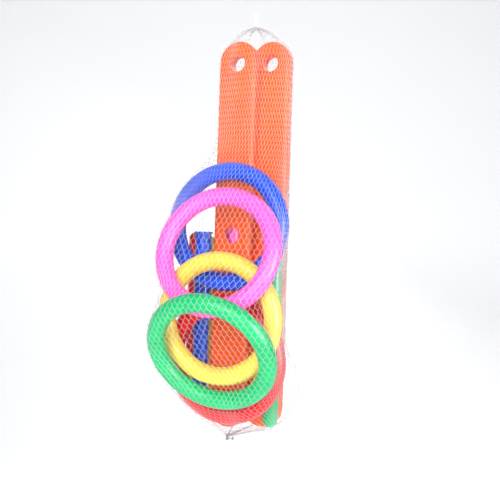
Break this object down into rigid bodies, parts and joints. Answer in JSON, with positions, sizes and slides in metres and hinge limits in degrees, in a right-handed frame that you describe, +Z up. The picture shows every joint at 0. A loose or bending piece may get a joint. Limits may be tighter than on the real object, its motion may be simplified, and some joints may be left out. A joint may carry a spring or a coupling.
{
  "type": "ring toss set",
  "caption": "Ring toss game packed in a hanging net bag: half-lapped base planks with peg holes, tapered pegs and round tossing rings.",
  "frame": {"origin": "centre of the hang hole in the tab at the top of the net bag", "axes": "+Z up, along the hanging bag; -Y towards the front, where the rings lie; +X to the viewer's right; the hang hole runs along X"},
  "size_m": [0.1624, 0.179, 0.481],
  "materials": {
    "plank_plastic": "satin blow-moulded polyethylene, orange-red",
    "blue_plastic": "semi-gloss blow-moulded polyethylene, blue",
    "red_plastic": "semi-gloss blow-moulded polyethylene, red",
    "yellow_plastic": "semi-gloss blow-moulded polyethylene, yellow",
    "pink_plastic": "semi-gloss blow-moulded polyethylene, pink",
    "green_plastic": "semi-gloss blow-moulded polyethylene, green",
    "net_cord": "white knitted mesh of fine polyethylene strands",
    "tab_film": "translucent white plastic",
    "clip_metal": "dull crimped metal"
  },
  "bodies": {
    "bag": {"hang_tab": "tab_film", "net_bag": "net_cord", "bottom_clip": "clip_metal"},
    "plank_left": {"plank_left": "plank_plastic"},
    "plank_right": {"plank_right": "plank_plastic"},
    "ring_blue": {"ring_blue": "blue_plastic"},
    "ring_red": {"ring_red": "red_plastic"},
    "ring_yellow": {"ring_yellow": "yellow_plastic"},
    "ring_pink": {"ring_pink": "pink_plastic"},
    "ring_green": {"ring_green": "green_plastic"},
    "peg_blue": {"peg_blue": "blue_plastic"},
    "peg_red": {"peg_red": "red_plastic"},
    "peg_yellow": {"peg_yellow": "yellow_plastic"},
    "peg_green": {"peg_green": "green_plastic"},
    "peg_pink": {"peg_pink": "pink_plastic"}
  },
  "joints": [
    {"name": "plank_left_out", "type": "slide", "parent": "bag", "child": "plank_left", "axis": [0.0301, -0.014, 0.9995], "range_m": [0, 0.48], "deforming": ["net_bag"]},
    {"name": "plank_right_out", "type": "slide", "parent": "bag", "child": "plank_right", "axis": [0.0301, -0.014, 0.9995], "range_m": [0, 0.48], "deforming": ["net_bag"]},
    {"name": "ring_red_out", "type": "slide", "parent": "bag", "child": "ring_red", "axis": [0.0301, -0.014, 0.9995], "range_m": [0, 0.46], "deforming": ["net_bag"]},
    {"name": "ring_blue_out", "type": "slide", "parent": "ring_red", "child": "ring_blue", "axis": [0.0301, -0.014, 0.9995], "range_m": [0, 0.33], "deforming": ["net_bag"]},
    {"name": "ring_yellow_out", "type": "slide", "parent": "ring_blue", "child": "ring_yellow", "axis": [0.0301, -0.014, 0.9995], "range_m": [0, 0.42], "deforming": ["net_bag"]},
    {"name": "ring_pink_out", "type": "slide", "parent": "ring_yellow", "child": "ring_pink", "axis": [0.0301, -0.014, 0.9995], "range_m": [0, 0.35], "deforming": ["net_bag"]},
    {"name": "ring_green_out", "type": "slide", "parent": "bag", "child": "ring_green", "axis": [-0.3244, -0.803, 0.5], "range_m": [0, 0.22], "deforming": ["net_bag"]},
    {"name": "peg_blue_out", "type": "slide", "parent": "bag", "child": "peg_blue", "axis": [0.0301, -0.014, 0.9995], "range_m": [0, 0.44], "deforming": ["net_bag"]},
    {"name": "peg_red_out", "type": "slide", "parent": "bag", "child": "peg_red", "axis": [0.0301, -0.014, 0.9995], "range_m": [0, 0.44], "deforming": ["net_bag"]},
    {"name": "peg_yellow_out", "type": "slide", "parent": "bag", "child": "peg_yellow", "axis": [0.0301, -0.014, 0.9995], "range_m": [0, 0.45], "deforming": ["net_bag"]},
    {"name": "peg_green_out", "type": "slide", "parent": "bag", "child": "peg_green", "axis": [0.0301, -0.014, 0.9995], "range_m": [0, 0.47], "deforming": ["net_bag"]},
    {"name": "peg_pink_out", "type": "slide", "parent": "bag", "child": "peg_pink", "axis": [0.0301, -0.014, 0.9995], "range_m": [0, 0.36], "deforming": ["net_bag"]}
  ]
}
